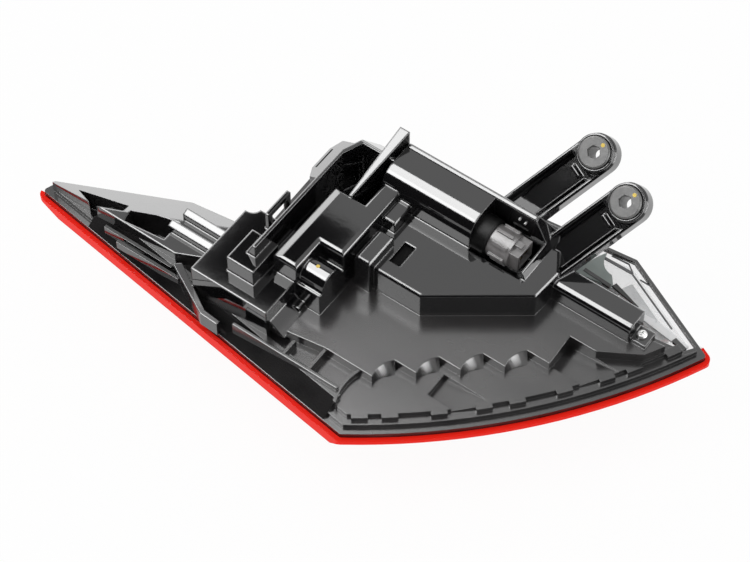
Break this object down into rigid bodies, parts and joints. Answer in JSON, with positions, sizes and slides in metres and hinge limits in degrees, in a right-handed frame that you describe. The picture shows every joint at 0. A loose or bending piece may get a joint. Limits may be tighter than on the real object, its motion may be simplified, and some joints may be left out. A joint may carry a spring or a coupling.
{
  "type": "tail light cluster",
  "caption": "Outer car tail lamp seen from behind: wedge-shaped red lens, stepped glossy black housing, twist-in bulb holder and mounting arms with bushes.",
  "frame": {"origin": "middle of the rim plane, where lens and housing meet", "axes": "+Z out of the back of the housing, +X along the long rounded bulb box towards the lens's nose, +Y towards the edge with the mounting arms"},
  "size_m": [0.3726, 0.2179, 0.1139],
  "materials": {
    "black_plastic": "high gloss",
    "red_acrylic": "clear red, polished",
    "clear_acrylic": "colourless, polished",
    "black_rubber": "matt",
    "grey_plastic": "satin",
    "brass": "bright",
    "amber_glass": "clear amber",
    "bright_plastic": "metallised",
    "zinc_steel": "zinc plated",
    "grey_trim": "satin",
    "green_board": "solder resist",
    "led_resin": "cast resin",
    "black_resin": "matt",
    "felt": "matt"
  },
  "bodies": {
    "root": {"housing": "black_plastic", "red_lens": "red_acrylic", "clear_lens": "clear_acrylic", "lens_seal": "black_rubber", "upper_bush": "grey_plastic", "lower_bush": "grey_plastic", "bulb_holder": "grey_plastic", "holder_seal": "black_rubber", "holder_terminals": "brass", "bulb": "amber_glass", "bulb_reflector": "bright_plastic", "rear_screw": "zinc_steel", "inner_bezel": "grey_trim", "led_board": "green_board", "leds": "led_resin", "led_reflector": "bright_plastic", "light_guide": "clear_acrylic", "guide_clips": "black_plastic", "guide_led": "led_resin", "guide_board": "green_board", "driver_board": "green_board", "driver_parts": "black_resin", "vent_filter": "felt", "reflex_reflector": "red_acrylic", "reverse_reflector": "bright_plastic", "reverse_board": "green_board", "reverse_led": "led_resin"}
  },
  "joints": []
}
